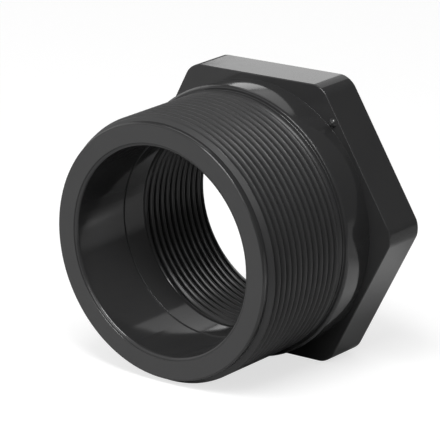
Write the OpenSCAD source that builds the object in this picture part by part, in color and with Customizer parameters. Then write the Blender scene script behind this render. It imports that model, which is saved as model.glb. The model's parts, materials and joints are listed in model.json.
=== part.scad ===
// Threaded pipe reducer bush: a hexagon collar with an inside pipe thread, a plain shank, and a larger
// outside pipe thread in front of it. It lies on one flat of the hexagon, its bore runs along Y, the
// outside thread points to -Y, and the origin is the centre of the hexagon's end face.
// The solid carries each thread as its envelope: the outside thread as a cylinder of its crest
// diameter, the inside thread as a bore of its crest diameter.

/* [Threads] */
// Pitch of both pipe threads
thread_pitch = 2.309; // [1.8:0.001:2.8]
// Major diameter of the outside thread
male_d = 75.184; // [69:0.001:120]
// Length from the outer end to the shoulder
male_l = 34.2; // [24:0.1:60]
// Length of the plain lead in front of the outside thread
male_lead_l = 1.6; // [0.8:0.1:4]
// Rounding of the outer end's edge
lead_edge_r = 0.5; // [0.2:0.1:0.8]
// Major diameter of the inside thread
female_d = 59.614; // [30:0.001:64]
// Length from the hexagon's end face to the inside thread's inner end
female_l = 28.9; // [16:0.1:40]
// Width by which the countersink clears the inside thread's major radius
sink_lip = 1.6; // [0.4:0.1:4]
// Angle between the countersink's wall and the bore axis
sink_angle = 45; // [30:1:60]

/* [Shank and hexagon] */
// Height of the shoulder over the outside thread's crests
shoulder_h = 1.6; // [0.8:0.1:6]
// Rounding of the shoulder's front edge
shoulder_edge_r = 0.5; // [0.2:0.1:0.7]
// Length of the plain shank, from the shoulder to the hexagon
shank_l = 9.6; // [4:0.1:30]
// Fillet between the shank and the hexagon's front face
shank_fillet_r = 0.5; // [0.2:0.1:0.7]
// Distance from the shank's surface out to the hexagon's flats
flat_step = 0.8; // [0.6:0.1:8]
// Thickness of the hexagon
hex_t = 13; // [8:0.1:30]
// Rounding of the hexagon's six corners
hex_corner_r = 5.7; // [2:0.1:12]

/* [Bore] */
// Length of the smooth relief between the moulding cores' parting step and the inside thread
relief_l = 7.1; // [2:0.1:10]
// Depth of the relief over the inside thread's crests
relief_h = 0.7; // [0.3:0.1:1.4]
// Height of the step where the two moulding cores meet
parting_h = 0.3; // [0.1:0.1:1]
// Draft of the bore in front of the parting step, in degrees
bore_draft = 0.9; // [0:0.1:2]
// Rounding of the bore's mouth
mouth_r = 1.25; // [0.5:0.05:1.8]

/* [Hidden] */
$fn = 180;
eps = 0.01;

// Height of a rounded 55 degree pipe thread, as a share of its pitch
thread_h_share = 0.640327;
thread_h = thread_h_share * thread_pitch;

// Lengths along the bore, from the outer end
hex_front_z = male_l + shank_l;
total_l = hex_front_z + hex_t;
thread_end_z = total_l - female_l;
parting_z = thread_end_z - relief_l;

// Radii of the outside, from the thread out to the flats
male_crest_r = male_d / 2;
male_root_r = male_crest_r - thread_h;
shank_r = male_crest_r + shoulder_h;
flat_r = shank_r + flat_step;

// Radii of the inside, from the thread's crests out to the countersink
female_crest_r = female_d / 2 - thread_h;
relief_r = female_crest_r + relief_h;
bore_foot_r = relief_r + parting_h;
bore_mouth_r = bore_foot_r + (parting_z - mouth_r) * tan(bore_draft);
sink_r = female_d / 2 + sink_lip;
sink_depth = (sink_r - female_crest_r) / tan(sink_angle);

// The hexagon's corners
corners = 6;
corner_pitch = 360 / corners;
corner_centre_r = (flat_r - hex_corner_r) / cos(corner_pitch / 2);

// What a quarter round of radius r leaves of a square corner. The corner is at the origin, and the
// quarter round lies towards +X and +Y.
module corner_waste(r) {
    difference() {
        translate([-eps, -eps])
            square(r + eps);
        translate([r, r])
            circle(r);
    }
}

// Half section of the outside up to the hexagon's front face: the lead at the thread's root radius,
// the crest envelope, the shoulder, and the shank with its fillet.
module outside_profile() {
    difference() {
        polygon([
            [0, 0],
            [male_root_r, 0],
            [male_root_r, male_lead_l],
            [male_crest_r, male_lead_l + thread_h],
            [male_crest_r, male_l],
            [shank_r, male_l],
            [shank_r, hex_front_z + eps],
            [0, hex_front_z + eps]
        ]);
        translate([male_root_r, 0])
            mirror([1, 0])
                corner_waste(lead_edge_r);
        translate([shank_r, male_l])
            mirror([1, 0])
                corner_waste(shoulder_edge_r);
    }
    translate([shank_r, hex_front_z])
        mirror([0, 1])
            corner_waste(shank_fillet_r);
}

// Outline of the hexagon with rounded corners: the flats run between the points where they touch the
// six corner circles.
module hex_outline() {
    polygon([
        for (corner = [0 : corner_pitch : 359], side = [-1, 1])
            let (normal = corner + side * corner_pitch / 2)
                corner_centre_r * [cos(corner), sin(corner)]
                    + hex_corner_r * [cos(normal), sin(normal)]
    ]);
    for (corner = [0 : corner_pitch : 359])
        rotate(corner)
            translate([corner_centre_r, 0])
                circle(hex_corner_r);
}

// Half section of the bore: the rounded mouth, the drafted bore, the parting step, the relief, the
// thread's clear bore and its countersink.
module bore_profile() {
    polygon([
        [0, -eps],
        [bore_mouth_r, -eps],
        [bore_mouth_r, mouth_r],
        [bore_foot_r, parting_z],
        [relief_r, parting_z],
        [relief_r, thread_end_z],
        [female_crest_r, thread_end_z + relief_h],
        [female_crest_r, total_l - sink_depth],
        [sink_r, total_l],
        [sink_r, total_l + eps],
        [0, total_l + eps]
    ]);
    translate([bore_mouth_r, 0])
        corner_waste(mouth_r);
}

// The moulded fitting, turned from its own axis Z to the bore axis Y
module reducer() {
    color([0.15, 0.15, 0.155])
        rotate([-90, 0, 0])
            translate([0, 0, -total_l])
                difference() {
                    union() {
                        rotate_extrude()
                            outside_profile();
                        translate([0, 0, hex_front_z])
                            linear_extrude(hex_t)
                                hex_outline();
                    }
                    rotate_extrude()
                        bore_profile();
                }
}

reducer();
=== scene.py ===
"""Studio model of a threaded PVC pipe reducer: a moulded hexagon bush, lying on one flat of its hexagon.

The bore axis is Y. The outside thread points to -Y and the inside thread opens at the origin, in the
middle of the hexagon's end face. Every mesh is turned about Z first, with its outer end at zero height,
and is laid along Y when it is finished.
"""
import json
import logging
import math
from dataclasses import dataclass, field
from enum import Enum

import bmesh
import bpy
from mathutils import Matrix, Quaternion, Vector


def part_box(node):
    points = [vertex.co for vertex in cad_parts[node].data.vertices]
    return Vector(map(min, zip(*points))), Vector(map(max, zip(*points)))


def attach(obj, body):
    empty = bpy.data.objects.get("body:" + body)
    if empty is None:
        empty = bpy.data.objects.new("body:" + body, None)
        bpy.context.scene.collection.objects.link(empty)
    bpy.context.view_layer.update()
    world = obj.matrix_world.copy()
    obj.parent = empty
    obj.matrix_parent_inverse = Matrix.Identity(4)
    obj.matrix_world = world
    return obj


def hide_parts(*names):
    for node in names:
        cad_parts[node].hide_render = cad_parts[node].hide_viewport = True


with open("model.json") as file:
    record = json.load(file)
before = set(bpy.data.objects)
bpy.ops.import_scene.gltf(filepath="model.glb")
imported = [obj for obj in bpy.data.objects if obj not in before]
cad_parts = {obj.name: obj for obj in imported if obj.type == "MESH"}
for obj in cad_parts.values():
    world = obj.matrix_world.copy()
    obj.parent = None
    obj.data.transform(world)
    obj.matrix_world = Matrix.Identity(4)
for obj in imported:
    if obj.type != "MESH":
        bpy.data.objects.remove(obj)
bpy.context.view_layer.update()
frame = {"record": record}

LOG = logging.getLogger("reducer")
MM = 0.001
MERGE_GAP = 0.006 * MM
NODE = "reducer"
FULL_TURN = math.tau


class Side(Enum):
    """Which way the crests of a thread point."""

    OUTSIDE = 1
    INSIDE = -1


class Skin(Enum):
    """Where on the fitting a finish lies."""

    PLAIN = 0
    OUTER_THREAD = 1
    INNER_THREAD = 2
    END_RING = 3


def smooth_share(value: float, low: float, high: float) -> float:
    """Share from 0 to 1 of the way from low to high, eased at both ends.

    Args:
        value: Where the share is read.
        low: Value at which the share is 0.
        high: Value at which the share is 1.

    Returns:
        The eased share.
    """
    share = min(max((value - low) / (high - low), 0.0), 1.0)
    return share * share * (3.0 - 2.0 * share)


def quarter_round(centre: tuple[float, float], radius: float, start: float, end: float,
                  steps: int) -> list[tuple[float, float]]:
    """Points of a profile along an arc, without its first point.

    Args:
        centre: Radius and height of the arc's centre.
        radius: Radius of the arc.
        start: Angle of the first point, in degrees from the outward direction.
        end: Angle of the last point.
        steps: Number of segments.

    Returns:
        Radius and height of each point after the first.
    """
    points = []
    for step in range(1, steps + 1):
        angle = math.radians(start + (end - start) * step / steps)
        points.append((centre[0] + radius * math.cos(angle), centre[1] + radius * math.sin(angle)))
    return points


@dataclass(frozen=True)
class ThreadForm:
    """Rounded 55 degree pipe thread form, the same outside and inside, with softly moulded crests."""

    pitch: float = 2.309 * MM
    crest_round: float = 0.15
    root_round: float = 0.137329
    half_angle: float = 27.5
    arc_steps: int = 4
    flank_steps: int = 3

    @property
    def height(self) -> float:
        """Height from root to crest: the sharp form's height less what the two rounds take off."""
        half = math.radians(self.half_angle)
        rounded_off = (self.crest_round + self.root_round) * (1.0 / math.sin(half) - 1.0)
        return (0.5 / math.tan(half) - rounded_off) * self.pitch

    def one_pitch(self) -> list[tuple[float, float]]:
        """Height over the root, and place along the axis, from one crest up to the next one.

        Returns:
            Place and height of each point, the last crest included.
        """
        sweep = math.radians(90.0 - self.half_angle)
        angles = [sweep * step / self.arc_steps for step in range(self.arc_steps + 1)]
        crest, root = self.crest_round * self.pitch, self.root_round * self.pitch
        half = [(crest * math.sin(angle), self.height - crest * (1.0 - math.cos(angle)))
                for angle in angles]
        valley = [(self.pitch / 2 - root * math.sin(angle), root * (1.0 - math.cos(angle)))
                  for angle in reversed(angles)]
        flank_start, flank_end = half[-1], valley[0]
        for step in range(1, self.flank_steps):
            share = step / self.flank_steps
            half.append((flank_start[0] + (flank_end[0] - flank_start[0]) * share,
                         flank_start[1] + (flank_end[1] - flank_start[1]) * share))
        half += valley
        back = [(self.pitch - place, height) for place, height in reversed(half[:-1])]
        return half + back


@dataclass(frozen=True)
class OutsideThread:
    """The larger thread on the shank's outside, with the plain lead in front of it."""

    form: ThreadForm
    crest_r: float
    crest_angle: float = 9.71
    crest_depth: float = 2.83 * MM
    lead_r: float = 36.113 * MM
    lead_l: float = 1.9 * MM
    lead_edge_r: float = 0.5 * MM
    lead_angle: float = 55.0
    fade_from: float = 29.6 * MM
    end_depth: float = 32.6 * MM
    end_r: float = 37.4 * MM
    edge_steps: int = 5
    steps: int = 128

    @property
    def root_r(self) -> float:
        """Radius at the bottom of the grooves."""
        return self.crest_r - self.form.height

    def lead_profile(self) -> list[tuple[float, float]]:
        """Points of the plain lead and its rounded edge, from the thread out to the front face.

        Returns:
            Radius and depth of each point.
        """
        edge = self.lead_edge_r
        return [(self.lead_r, edge)] + quarter_round((self.lead_r - edge, edge), edge, 0.0, -90.0,
                                                     self.edge_steps)

    def radius_at(self, radius: float, depth: float) -> float:
        """Radius of the finished surface where the endless thread has the given radius.

        Args:
            radius: Radius of the endless thread.
            depth: Distance from the outer end.

        Returns:
            The radius with the lead's chamfer and the run-out worked in.
        """
        chamfer = self.lead_r + max(depth - self.lead_l, 0.0) * math.tan(math.radians(self.lead_angle))
        run_out = smooth_share(depth, self.fade_from, self.end_depth)
        crest = self.crest_r + (self.end_r - self.crest_r) * run_out
        floor = self.root_r + (self.end_r - self.root_r) * run_out
        share = (radius - self.root_r) / self.form.height
        return min(floor + (crest - floor) * share, chamfer)


@dataclass(frozen=True)
class InsideThread:
    """The smaller thread in the bore, from the relief up to the countersink in the hexagon's end face."""

    form: ThreadForm
    crest_r: float
    crest_angle: float = 229.7
    crest_depth: float = 28.7 * MM
    start_depth: float = 27.7 * MM
    fade_l: float = 2.0 * MM
    sink_r: float = 31.4 * MM
    sink_angle: float = 45.0
    steps: int = 128

    @property
    def root_r(self) -> float:
        """Radius at the bottom of the grooves."""
        return self.crest_r + self.form.height

    def radius_at(self, radius: float, depth: float, relief_r: float, end_depth: float) -> float:
        """Radius of the finished surface where the endless thread has the given radius.

        Args:
            radius: Radius of the endless thread.
            depth: Distance from the outer end.
            relief_r: Radius of the smooth bore that the thread starts from.
            end_depth: Depth of the hexagon's end face.

        Returns:
            The radius with the start and the countersink worked in.
        """
        share = smooth_share(depth, self.start_depth, self.start_depth + self.fade_l)
        sink = self.sink_r - (end_depth - depth) * math.tan(math.radians(self.sink_angle))
        return max(relief_r + (radius - relief_r) * share, sink)


@dataclass(frozen=True)
class Neck:
    """The plain shank between the thread and the hexagon: it narrows a little from its shoulder back."""

    foot_r: float = 0.25 * MM
    shoulder_depth: float = 33.2 * MM
    lip_r: float = 38.55 * MM
    lip_edge_r: float = 0.4 * MM
    shank_depth: float = 33.95 * MM
    shank_r: float = 38.9 * MM
    taper: float = 3.2
    fillet_r: float = 0.04 * MM
    arc_steps: int = 6

    def profile(self, thread_r: float, collar_depth: float) -> list[tuple[float, float]]:
        """Points from the thread's end up to the hexagon's front face.

        Args:
            thread_r: Radius at which the thread ends.
            collar_depth: Depth of the hexagon's front face.

        Returns:
            Radius and depth of each point.
        """
        foot, edge, fillet = self.foot_r, self.lip_edge_r, self.fillet_r
        lean = math.radians(self.taper)
        chamfer_l = self.shank_depth - self.shoulder_depth - edge
        slope = math.degrees(math.atan2(self.shank_r - self.lip_r, chamfer_l))
        points = [(thread_r, self.shoulder_depth - foot)]
        points += quarter_round((thread_r + foot, self.shoulder_depth - foot), foot, 180.0, 90.0,
                                self.arc_steps)
        points.append((self.lip_r - edge, self.shoulder_depth))
        points += quarter_round((self.lip_r - edge, self.shoulder_depth + edge), edge, -90.0, -slope,
                                self.arc_steps)
        points.append((self.shank_r, self.shank_depth))
        wide_r, wide_depth = points[-1]
        narrow_depth = collar_depth - fillet * (1.0 + math.sin(lean))
        narrow_r = wide_r - (narrow_depth - wide_depth) * math.tan(lean)
        points.append((narrow_r, narrow_depth))
        points += quarter_round((narrow_r + fillet * math.cos(lean), collar_depth - fillet), fillet,
                                180.0 + self.taper, 90.0, self.arc_steps)
        return points


@dataclass(frozen=True)
class Collar:
    """The hexagon."""

    across_flats: float
    thickness: float = 13.0 * MM
    corner_r: float = 5.7 * MM
    edge_r: float = 0.28 * MM
    corner_steps: int = 8
    edge_steps: int = 3
    corners: int = 6

    def build(self, bm: bmesh.types.BMesh, front_depth: float) -> list[list[bmesh.types.BMEdge]]:
        """Adds the hexagon's rim, without its two end faces.

        Args:
            bm: The mesh that takes the rim.
            front_depth: Depth of the hexagon's front face.

        Returns:
            The edges of the front outline, and those of the end outline.
        """
        half_side = math.pi / self.corners
        corner_radius = self.across_flats / 2 / math.cos(half_side)
        ring = bmesh.ops.create_circle(bm, cap_ends=True, radius=corner_radius, segments=self.corners,
                                       matrix=Matrix.Translation((0, 0, front_depth))
                                       @ Matrix.Rotation(math.pi / 2, 4, "Z"))
        face = ring["verts"][0].link_faces[0]
        moved = bmesh.ops.extrude_face_region(bm, geom=[face], use_keep_orig=True)["geom"]
        top = [item for item in moved if isinstance(item, bmesh.types.BMVert)]
        bmesh.ops.translate(bm, vec=(0, 0, self.thickness), verts=top)
        uprights = [edge for vert in top for edge in vert.link_edges
                    if abs(edge.verts[0].co.z - edge.verts[1].co.z) > MERGE_GAP]
        bmesh.ops.bevel(bm, geom=uprights, offset=self.corner_r * math.tan(half_side), offset_type="OFFSET",
                        segments=self.corner_steps, profile=0.5, affect="EDGES", material=-1,
                        clamp_overlap=False)
        low, high = front_depth, front_depth + self.thickness
        rims = [edge for edge in bm.edges if edge.is_valid and any(
            all(abs(vert.co.z - level) < MERGE_GAP and vert.co.xy.length > self.across_flats / 2 - MERGE_GAP
                for vert in edge.verts) for level in (low, high))]
        bmesh.ops.bevel(bm, geom=rims, offset=self.edge_r, offset_type="OFFSET", segments=self.edge_steps,
                        profile=0.5, affect="EDGES", material=-1, clamp_overlap=False)
        outlines = []
        for level in (low, high):
            cap = [face for face in bm.faces if len(face.verts) > self.corners * self.corner_steps - 1
                   and all(abs(vert.co.z - level) < MERGE_GAP for vert in face.verts)]
            outlines.append(list(cap[0].edges))
            bmesh.ops.delete(bm, geom=cap, context="FACES_ONLY")
        return outlines


@dataclass(frozen=True)
class GatePip:
    """The small round pip that the mould's gate left on the hexagon's front face."""

    angle: float = 48.6
    centre_r: float = 40.05 * MM
    foot_r: float = 1.35 * MM
    height: float = 0.95 * MM
    sides: int = 24
    rings: int = 6

    def build(self, bm: bmesh.types.BMesh, front_depth: float) -> list[bmesh.types.BMEdge]:
        """Adds the pip's dome.

        Args:
            bm: The mesh that takes the dome.
            front_depth: Depth of the hexagon's front face.

        Returns:
            The edges of its foot.
        """
        turn = math.radians(self.angle)
        centre = Vector((self.centre_r * math.cos(turn), -self.centre_r * math.sin(turn), front_depth))
        ring = bmesh.ops.create_circle(bm, cap_ends=False, radius=self.foot_r, segments=self.sides,
                                       matrix=Matrix.Translation(centre))
        foot = loop = list({edge for vert in ring["verts"] for edge in vert.link_edges})
        dome_r = (self.foot_r ** 2 + self.height ** 2) / (2 * self.height)
        sweep = math.asin(self.foot_r / dome_r)
        radius, level = self.foot_r, 0.0
        for step in range(1, self.rings):
            angle = sweep * (1.0 - step / self.rings)
            next_radius, next_level = dome_r * math.sin(angle), dome_r * (math.cos(angle) - math.cos(sweep))
            grown = bmesh.ops.extrude_edge_only(bm, edges=loop)["geom"]
            verts = [item for item in grown if isinstance(item, bmesh.types.BMVert)]
            loop = [item for item in grown if isinstance(item, bmesh.types.BMEdge)]
            share = next_radius / radius
            bmesh.ops.scale(bm, vec=(share, share, 1.0), space=Matrix.Translation(-centre), verts=verts)
            bmesh.ops.translate(bm, vec=(0, 0, level - next_level), verts=verts)
            radius, level = next_radius, next_level
        bmesh.ops.contextual_create(bm, geom=loop)
        return foot


@dataclass(frozen=True)
class Bore:
    """The smooth bore at the outer end, from the mouth's small step up to the inside thread."""

    mouth_r: float = 0.9 * MM
    mouth_bore_r: float = 29.45 * MM
    shelf_l: float = 0.05 * MM
    lip_r: float = 0.25 * MM
    foot_bore_r: float = 29.33 * MM
    relief_r: float = 29.03 * MM
    parting_depth: float = 20.0 * MM
    parting_edge_r: float = 0.06 * MM
    parting_steps: int = 2
    arc_steps: int = 7
    lip_steps: int = 4

    def profile(self, thread_start: float) -> list[tuple[float, float]]:
        """Points from the inside thread's start out to the front face.

        Args:
            thread_start: Depth at which the inside thread starts; not used.

        Returns:
            Radius and depth of each point.
        """
        edge = self.parting_edge_r
        points = [(self.relief_r, self.parting_depth + edge)]
        points += quarter_round((self.relief_r + edge, self.parting_depth + edge), edge, 180.0, 270.0,
                                self.parting_steps)
        points.append((self.foot_bore_r, self.parting_depth))
        mouth_depth = self.mouth_r + self.lip_r
        points.append((self.mouth_bore_r, mouth_depth))
        points += quarter_round((self.mouth_bore_r + self.mouth_r, mouth_depth), self.mouth_r, 180.0, 270.0,
                                self.arc_steps)
        shelf_r = self.mouth_bore_r + self.mouth_r + self.shelf_l
        points.append((shelf_r, self.lip_r))
        points += quarter_round((shelf_r + self.lip_r, self.lip_r), self.lip_r, 180.0, 270.0,
                                self.lip_steps)
        return points


@dataclass(frozen=True)
class PvcFinish:
    """Dark grey PVC as it leaves the mould: a semi-gloss skin with faint flow marks."""

    name: str
    gloss_low: float
    gloss_high: float
    light_tone: tuple[float, float, float, float] = (0.034, 0.034, 0.034, 1.0)
    dark_tone: tuple[float, float, float, float] = (0.026, 0.026, 0.027, 1.0)
    tone_scale: float = 60.0
    tone_detail: float = 4.0
    gloss_scale: float = 220.0
    gloss_detail: float = 3.0
    gloss_span: tuple[float, float] = (0.3, 0.7)
    skin_scale: float = 900.0
    skin_detail: float = 2.0
    skin_height: float = 0.004 * MM
    ior: float = 1.52

    def material(self) -> bpy.types.Material:
        """Builds the finish.

        Returns:
            The node material.
        """
        material = bpy.data.materials.new(self.name)
        material.use_nodes = True
        nodes, links = material.node_tree.nodes, material.node_tree.links
        shader = nodes["Principled BSDF"]
        shader.inputs["IOR"].default_value = self.ior
        place = nodes.new("ShaderNodeTexCoord")

        def noise(scale: float, detail: float) -> bpy.types.Node:
            """Adds a noise in the object's own coordinates.

            Args:
                scale: Waves of the noise over one metre.
                detail: How many finer layers it has.

            Returns:
                The noise node.
            """
            node = nodes.new("ShaderNodeTexNoise")
            node.inputs["Scale"].default_value = scale
            node.inputs["Detail"].default_value = detail
            links.new(place.outputs["Object"], node.inputs["Vector"])
            return node

        tone = nodes.new("ShaderNodeMix")
        tone.data_type = "RGBA"
        tone.inputs["A"].default_value = self.dark_tone
        tone.inputs["B"].default_value = self.light_tone
        links.new(noise(self.tone_scale, self.tone_detail).outputs["Fac"], tone.inputs["Factor"])
        links.new(tone.outputs["Result"], shader.inputs["Base Color"])

        gloss = nodes.new("ShaderNodeMapRange")
        gloss.inputs["From Min"].default_value, gloss.inputs["From Max"].default_value = self.gloss_span
        gloss.inputs["To Min"].default_value = self.gloss_low
        gloss.inputs["To Max"].default_value = self.gloss_high
        links.new(noise(self.gloss_scale, self.gloss_detail).outputs["Fac"], gloss.inputs["Value"])
        links.new(gloss.outputs["Result"], shader.inputs["Roughness"])

        skin = nodes.new("ShaderNodeBump")
        skin.inputs["Distance"].default_value = self.skin_height
        links.new(noise(self.skin_scale, self.skin_detail).outputs["Fac"], skin.inputs["Height"])
        links.new(skin.outputs["Normal"], shader.inputs["Normal"])
        return material


@dataclass
class Reducer:
    """The whole fitting, one moulded piece."""

    length: float
    collar: Collar
    outside: OutsideThread
    inside: InsideThread
    neck: Neck = field(default_factory=Neck)
    bore: Bore = field(default_factory=Bore)
    pip: GatePip = field(default_factory=GatePip)
    finishes: dict[Skin, PvcFinish] = field(default_factory=lambda: {
        Skin.PLAIN: PvcFinish("plain_pvc", 0.09, 0.14),
        Skin.OUTER_THREAD: PvcFinish("outer_thread_pvc", 0.32, 0.38),
        Skin.INNER_THREAD: PvcFinish("inner_thread_pvc", 0.15, 0.2),
        # The end ring's lighter tones are painted light: they brighten its face as if it caught more light
        # from the table.
        Skin.END_RING: PvcFinish("end_ring_pvc_painted_light", 0.12, 0.18, light_tone=(0.05, 0.05, 0.05, 1.0),
                                 dark_tone=(0.042, 0.042, 0.043, 1.0)),
    })
    sharp_angle: float = 50.0

    @classmethod
    def from_frame(cls) -> "Reducer":
        """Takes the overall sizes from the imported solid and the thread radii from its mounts.

        Returns:
            The fitting, ready to build.
        """
        low, high = (Vector(corner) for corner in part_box(NODE))
        radii = {mount["name"]: mount["dims"].get("r_mm") for mount in frame["record"]["mounts"]}
        form = ThreadForm()
        return cls(length=high.y - low.y,
                   collar=Collar(across_flats=high.z - low.z),
                   outside=OutsideThread(form, radii["outside_thread"] * MM),
                   inside=InsideThread(form, radii["inside_thread"] * MM))

    @property
    def collar_depth(self) -> float:
        """Depth of the hexagon's front face."""
        return self.length - self.collar.thickness

    def build(self) -> bpy.types.Object:
        """Builds the fitting, gives it its finish and puts it in place of the plain solid.

        Returns:
            The finished piece.
        """
        bm = bmesh.new()
        outlines = self.collar.build(bm, self.collar_depth)
        pip_foot = self.pip.build(bm, self.collar_depth)
        skins = {}
        ends = {}
        for side, skin in ((Side.OUTSIDE, Skin.OUTER_THREAD), (Side.INSIDE, Skin.INNER_THREAD)):
            known = set(bm.faces)
            ends[side] = self.thread_wall(bm, side)
            skins.update((face, skin) for face in set(bm.faces) - known)
        outer_front, outer_back = ends[Side.OUTSIDE]
        inner_front, inner_back = ends[Side.INSIDE]

        outer_front = self.carry_on(bm, outer_front, self.outside.lead_r, self.outside.lead_l,
                                    self.outside.lead_profile())
        outer_back = self.carry_on(bm, outer_back, self.outside.end_r, self.outside.end_depth,
                                   self.neck.profile(self.outside.end_r, self.collar_depth))
        inner_front = self.carry_on(bm, inner_front, self.bore.relief_r, self.inside.start_depth,
                                    self.bore.profile(self.inside.start_depth))

        for edges, skin in ((outer_front + inner_front, Skin.END_RING),
                            (outer_back + outlines[0] + pip_foot, Skin.PLAIN),
                            (inner_back + outlines[1], Skin.PLAIN)):
            filled = bmesh.ops.triangle_fill(bm, use_beauty=True, use_dissolve=False, edges=edges)["geom"]
            skins.update((item, skin) for item in filled if isinstance(item, bmesh.types.BMFace))

        for face in bm.faces:
            face.material_index = skins.get(face, Skin.PLAIN).value
        bmesh.ops.remove_doubles(bm, verts=bm.verts, dist=MERGE_GAP)
        bmesh.ops.recalc_face_normals(bm, faces=bm.faces)
        lay_down = Matrix.Translation((0, -self.length, 0)) @ Matrix.Rotation(-math.pi / 2, 4, "X")
        bmesh.ops.transform(bm, matrix=lay_down, verts=bm.verts)
        open_edges = sum(edge.is_boundary for edge in bm.edges)
        LOG.info("%s: %d faces, %d open edges", NODE, len(bm.faces), open_edges)
        return self.finished(bm)

    def thread_wall(self, bm: bmesh.types.BMesh, side: Side) -> list[list[bmesh.types.BMEdge]]:
        """Adds one threaded wall, cut off square at both ends.

        Args:
            bm: The mesh that takes the wall.
            side: Which of the two threads.

        Returns:
            The edges of its front end, and those of its back end.
        """
        thread = self.outside if side is Side.OUTSIDE else self.inside
        form = thread.form
        if side is Side.OUTSIDE:
            front, back = thread.lead_l, thread.end_depth
        else:
            front, back = thread.start_depth, self.length
        local_angle = -math.radians(thread.crest_angle)
        crest_at_zero = thread.crest_depth - form.pitch * local_angle / FULL_TURN
        first = crest_at_zero - form.pitch * math.ceil((crest_at_zero - front) / form.pitch + 1.0)
        turns = math.ceil((back - first) / form.pitch) + 1

        wall = bmesh.new()
        previous = None
        for turn in range(turns):
            for place, height in form.one_pitch()[turn > 0:]:
                spot = (thread.root_r + side.value * height, 0, first + turn * form.pitch + place)
                vert = wall.verts.new(spot)
                if previous:
                    wall.edges.new((previous, vert))
                previous = vert
        # Each turn ends one pitch further on, so it joins the next turn's start and not its own
        bmesh.ops.spin(wall, geom=wall.verts[:] + wall.edges[:], cent=(0, 0, 0), axis=(0, 0, 1),
                       dvec=(0, 0, form.pitch / thread.steps), angle=FULL_TURN, steps=thread.steps,
                       use_merge=False, use_duplicate=False)
        bmesh.ops.remove_doubles(wall, verts=wall.verts, dist=MERGE_GAP)
        for level, direction in ((front, -1), (back, 1)):
            bmesh.ops.bisect_plane(wall, geom=wall.verts[:] + wall.edges[:] + wall.faces[:],
                                   dist=MERGE_GAP / 2, plane_co=(0, 0, level),
                                   plane_no=(0, 0, direction), clear_outer=True)
            for vert in wall.verts:
                if abs(vert.co.z - level) < MERGE_GAP:
                    vert.co.z = level
        for vert in wall.verts:
            radius = vert.co.xy.length
            if side is Side.OUTSIDE:
                wanted = thread.radius_at(radius, vert.co.z)
            else:
                wanted = thread.radius_at(radius, vert.co.z, self.bore.relief_r, self.length)
            vert.co.xy *= wanted / radius

        part = bpy.data.meshes.new("thread_wall")
        wall.to_mesh(part)
        wall.free()
        known = set(bm.verts)
        bm.from_mesh(part)
        bpy.data.meshes.remove(part)
        edges = {edge for vert in bm.verts if vert not in known
                 for edge in vert.link_edges if edge.is_boundary}
        return [[edge for edge in edges if all(abs(vert.co.z - level) < MERGE_GAP for vert in edge.verts)]
                for level in (front, back)]

    @staticmethod
    def carry_on(bm: bmesh.types.BMesh, loop: list[bmesh.types.BMEdge], radius: float, depth: float,
                 profile: list[tuple[float, float]]) -> list[bmesh.types.BMEdge]:
        """Carries a round open end on along a profile.

        Args:
            bm: The mesh that holds the open end.
            loop: The edges of the open end.
            radius: Radius of the open end.
            depth: Depth of the open end.
            profile: Radius and depth of each ring that follows.

        Returns:
            The edges of the new open end.
        """
        for next_radius, next_depth in profile:
            grown = bmesh.ops.extrude_edge_only(bm, edges=loop)["geom"]
            verts = [item for item in grown if isinstance(item, bmesh.types.BMVert)]
            loop = [item for item in grown if isinstance(item, bmesh.types.BMEdge)]
            share = next_radius / radius
            bmesh.ops.scale(bm, vec=(share, share, 1.0), verts=verts)
            bmesh.ops.translate(bm, vec=(0, 0, next_depth - depth), verts=verts)
            radius, depth = next_radius, next_depth
        return loop

    def finished(self, bm: bmesh.types.BMesh) -> bpy.types.Object:
        """Makes the object from its mesh, shades it and stands it in for the solid.

        Args:
            bm: The finished mesh.

        Returns:
            The piece.
        """
        mesh = bpy.data.meshes.new("pvc_reducer")
        bm.to_mesh(mesh)
        bm.free()
        mesh.shade_smooth()
        mesh.set_sharp_from_angle(angle=math.radians(self.sharp_angle))
        for skin in Skin:
            mesh.materials.append(self.finishes[skin].material())
        piece = bpy.data.objects.new("pvc_reducer", mesh)
        bpy.context.scene.collection.objects.link(piece)
        weighted = piece.modifiers.new("face_weighted_normals", "WEIGHTED_NORMAL")
        weighted.keep_sharp = True
        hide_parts(NODE)
        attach(piece, "root")
        return piece


@dataclass(frozen=True)
class PhotoCamera:
    """The camera at the photograph's viewing angle."""

    aim: tuple[float, float, float] = (-1.32 * MM, -28.78 * MM, 1.77 * MM)
    distance: float = 912.4 * MM
    azimuth: float = 39.569
    elevation: float = 17.259
    roll: float = -1.905
    focal_mm: float = 270.67
    sensor_mm: float = 36.0
    nearest: float = 10.0 * MM

    def place(self) -> bpy.types.Object:
        """Adds the camera and makes it the scene's own.

        Returns:
            The camera.
        """
        data = bpy.data.cameras.new("photo_camera")
        data.lens = self.focal_mm
        data.sensor_width = self.sensor_mm
        data.clip_start = self.nearest
        camera = bpy.data.objects.new("photo_camera", data)
        turn, lift = math.radians(self.azimuth), math.radians(self.elevation)
        back = Vector((math.sin(turn) * math.cos(lift), -math.cos(turn) * math.cos(lift), math.sin(lift)))
        level = Vector((math.cos(turn), math.sin(turn), 0.0))
        upright = back.cross(level)
        tilt = math.radians(self.roll)
        right = level * math.cos(tilt) + upright * math.sin(tilt)
        above = upright * math.cos(tilt) - level * math.sin(tilt)
        turned = Matrix((right, above, back)).transposed().to_4x4()
        camera.matrix_world = Matrix.Translation(Vector(self.aim) + back * self.distance) @ turned
        bpy.context.scene.collection.objects.link(camera)
        bpy.context.scene.camera = camera
        return camera


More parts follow.
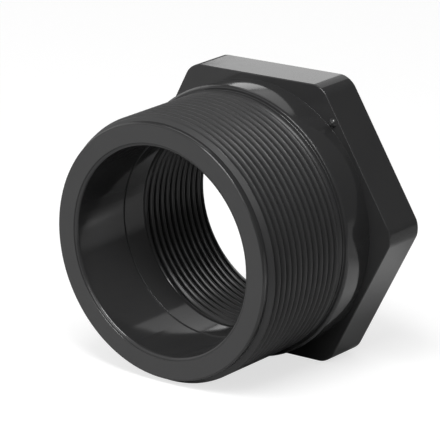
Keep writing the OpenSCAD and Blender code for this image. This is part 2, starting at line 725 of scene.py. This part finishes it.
@dataclass(frozen=True)
class Softbox:
    """A flat lamp that faces the fitting, turned in its own plane by some degrees."""

    name: str
    azimuth: float
    elevation: float
    distance: float
    width: float
    height: float
    radiance: float
    turn: float = 0.0

    def place(self, aim: Vector) -> bpy.types.Object:
        """Adds the lamp.

        Args:
            aim: The point that it faces.

        Returns:
            The lamp.
        """
        data = bpy.data.lights.new(self.name, "AREA")
        data.shape = "RECTANGLE"
        data.size, data.size_y = self.width, self.height
        data.energy = self.radiance * math.pi * self.width * self.height
        lamp = bpy.data.objects.new(self.name, data)
        turn, lift = math.radians(self.azimuth), math.radians(self.elevation)
        away = Vector((math.sin(turn) * math.cos(lift), -math.cos(turn) * math.cos(lift), math.sin(lift)))
        lamp.location = aim + away * self.distance
        facing = away.to_track_quat("Z", "Y") @ Quaternion((0.0, 0.0, 1.0), math.radians(self.turn))
        lamp.rotation_euler = facing.to_euler()
        bpy.context.scene.collection.objects.link(lamp)
        return lamp


@dataclass(frozen=True)
class Studio:
    """A pale table under soft lamps. The fitting lies on one flat and on its first thread turns."""

    table_width: float = 3.0
    table_depth: float = 1.6
    table_reach: float = 0.13
    table_turn: float = 39.57
    table_tone: float = 0.5
    seen_tone: float = 0.4
    glow: float = 0.7
    # Painted light for reflections: the share of the glow that they see on the table, and the edges of its
    # patch along X and Y, in metres.
    glossy_share: float = 0.5
    painted_patch_right: tuple[float, float] = (0.03, 0.043)
    painted_patch_rear_start: tuple[float, float] = (-0.012, 0.012)
    painted_patch_rear_end: tuple[float, float] = (0.052, 0.034)
    world_level: float = 0.13
    softboxes: tuple[Softbox, ...] = (
        Softbox("overhead_key", 32.0, 58.5, 1.2, 1.04, 1.0, 1.2),
        Softbox("key_strip", 32.0, 58.5, 1.18, 0.66, 0.22, 17.0, -45.0),
        Softbox("front_strip", -5.3, 17.7, 1.2, 0.31, 0.76, 2.9),
        Softbox("front_fill", 18.0, 20.5, 1.2, 0.36, 0.42, 1.6),
        Softbox("left_fill", -30.0, 28.0, 1.4, 1.6, 1.4, 0.6),
        Softbox("left_wall", -91.0, 18.0, 1.4, 2.0, 0.9, 0.57),
        Softbox("back_high", 205.0, 43.0, 1.4, 0.8, 0.8, 0.6),
        Softbox("back_wall", 202.0, 13.0, 1.6, 1.0, 0.7, 1.22),
    )

    def build(self, reducer: Reducer) -> None:
        """Adds the table, the lamps and the world.

        Args:
            reducer: The fitting that lies on the table.
        """
        flat_r = reducer.collar.across_flats / 2
        front_edge = -reducer.collar.thickness
        first_crest = -reducer.length + reducer.outside.lead_l + reducer.outside.form.height
        rise = (flat_r - reducer.outside.crest_r) / (front_edge - first_crest)
        tilt = math.atan(rise)
        bm = bmesh.new()
        bmesh.ops.create_grid(bm, x_segments=1, y_segments=1, size=0.5)
        bmesh.ops.scale(bm, vec=(self.table_width, self.table_depth, 1.0), verts=bm.verts)
        bmesh.ops.translate(bm, vec=(0, self.table_depth / 2 - self.table_reach, 0), verts=bm.verts)
        place = (Matrix.Translation((0, front_edge, -flat_r)) @ Matrix.Rotation(-tilt, 4, "X")
                 @ Matrix.Rotation(math.radians(self.table_turn), 4, "Z"))
        bmesh.ops.transform(bm, matrix=place, verts=bm.verts)
        mesh = bpy.data.meshes.new("table")
        bm.to_mesh(mesh)
        bm.free()
        mesh.materials.append(self.table_finish())
        table = bpy.data.objects.new("table", mesh)
        bpy.context.scene.collection.objects.link(table)
        for softbox in self.softboxes:
            softbox.place(Vector((0, -reducer.length / 2, 0)))
        self.light_world()

    def table_finish(self) -> bpy.types.Material:
        """Builds the table's finish: a pale board, which glows so that the camera sees it white.
        Reflections see a painted pool of light on it too: the glow reaches them only in a patch behind the
        hexagon and to its right, and is kept out near the fitting as painted shade.

        Returns:
            The node material.
        """
        material = bpy.data.materials.new("white_board")
        material.use_nodes = True
        nodes, links = material.node_tree.nodes, material.node_tree.links
        nodes.remove(nodes["Principled BSDF"])
        rays = nodes.new("ShaderNodeLightPath")
        tone = nodes.new("ShaderNodeMix")
        tone.data_type = "RGBA"
        tone.inputs["A"].default_value = (self.table_tone,) * 3 + (1.0,)
        tone.inputs["B"].default_value = (self.seen_tone,) * 3 + (1.0,)
        links.new(rays.outputs["Is Camera Ray"], tone.inputs["Factor"])
        board = nodes.new("ShaderNodeBsdfDiffuse")
        links.new(tone.outputs["Result"], board.inputs["Color"])
        place = nodes.new("ShaderNodeTexCoord")
        axes = nodes.new("ShaderNodeSeparateXYZ")
        links.new(place.outputs["Object"], axes.inputs[0])
        # Painted light and shade: the glow reaches reflections only inside a patch behind the hexagon and
        # to its right, and is kept out near the fitting in place of its shadow.
        painted_patch_mask = rays.outputs["Is Glossy Ray"]
        spans = (("X", self.painted_patch_right), ("Y", self.painted_patch_rear_start), ("Y", self.painted_patch_rear_end))
        for axis, (start, full) in spans:
            ramp = nodes.new("ShaderNodeMapRange")
            ramp.inputs["From Min"].default_value = start
            ramp.inputs["From Max"].default_value = full
            links.new(axes.outputs[axis], ramp.inputs["Value"])
            product = nodes.new("ShaderNodeMath")
            product.operation = "MULTIPLY"
            links.new(painted_patch_mask, product.inputs[0])
            links.new(ramp.outputs["Result"], product.inputs[1])
            painted_patch_mask = product.outputs[0]
        seen = nodes.new("ShaderNodeMath")
        seen.operation = "MULTIPLY_ADD"
        links.new(painted_patch_mask, seen.inputs[0])
        seen.inputs[1].default_value = self.glossy_share
        links.new(rays.outputs["Is Camera Ray"], seen.inputs[2])
        level = nodes.new("ShaderNodeMath")
        level.operation = "MULTIPLY"
        level.inputs[1].default_value = self.glow
        links.new(seen.outputs[0], level.inputs[0])
        glow = nodes.new("ShaderNodeEmission")
        links.new(level.outputs[0], glow.inputs["Strength"])
        both = nodes.new("ShaderNodeAddShader")
        links.new(board.outputs[0], both.inputs[0])
        links.new(glow.outputs[0], both.inputs[1])
        links.new(both.outputs[0], nodes["Material Output"].inputs["Surface"])
        return material

    def light_world(self) -> None:
        """White for the camera, and a dim even light for everything else."""
        world = bpy.data.worlds.new("studio")
        bpy.context.scene.world = world
        world.use_nodes = True
        nodes, links = world.node_tree.nodes, world.node_tree.links
        dim = nodes["Background"]
        dim.inputs["Strength"].default_value = self.world_level
        white = nodes.new("ShaderNodeBackground")
        rays = nodes.new("ShaderNodeLightPath")
        mix = nodes.new("ShaderNodeMixShader")
        links.new(rays.outputs["Is Camera Ray"], mix.inputs[0])
        links.new(dim.outputs[0], mix.inputs[1])
        links.new(white.outputs[0], mix.inputs[2])
        links.new(mix.outputs[0], nodes["World Output"].inputs["Surface"])
        for node in (dim, white):
            node.inputs["Color"].default_value = (1.0, 1.0, 1.0, 1.0)


def main() -> None:
    """Builds the camera, the fitting and the studio, and logs what it built."""
    logging.basicConfig(level=logging.INFO, format="%(name)s: %(message)s")
    PhotoCamera().place()
    reducer = Reducer.from_frame()
    piece = reducer.build()
    LOG.info("built %s", piece.name)
    Studio().build(reducer)
    bpy.context.scene.view_settings.view_transform = "Standard"


if __name__ == "__main__":
    main()
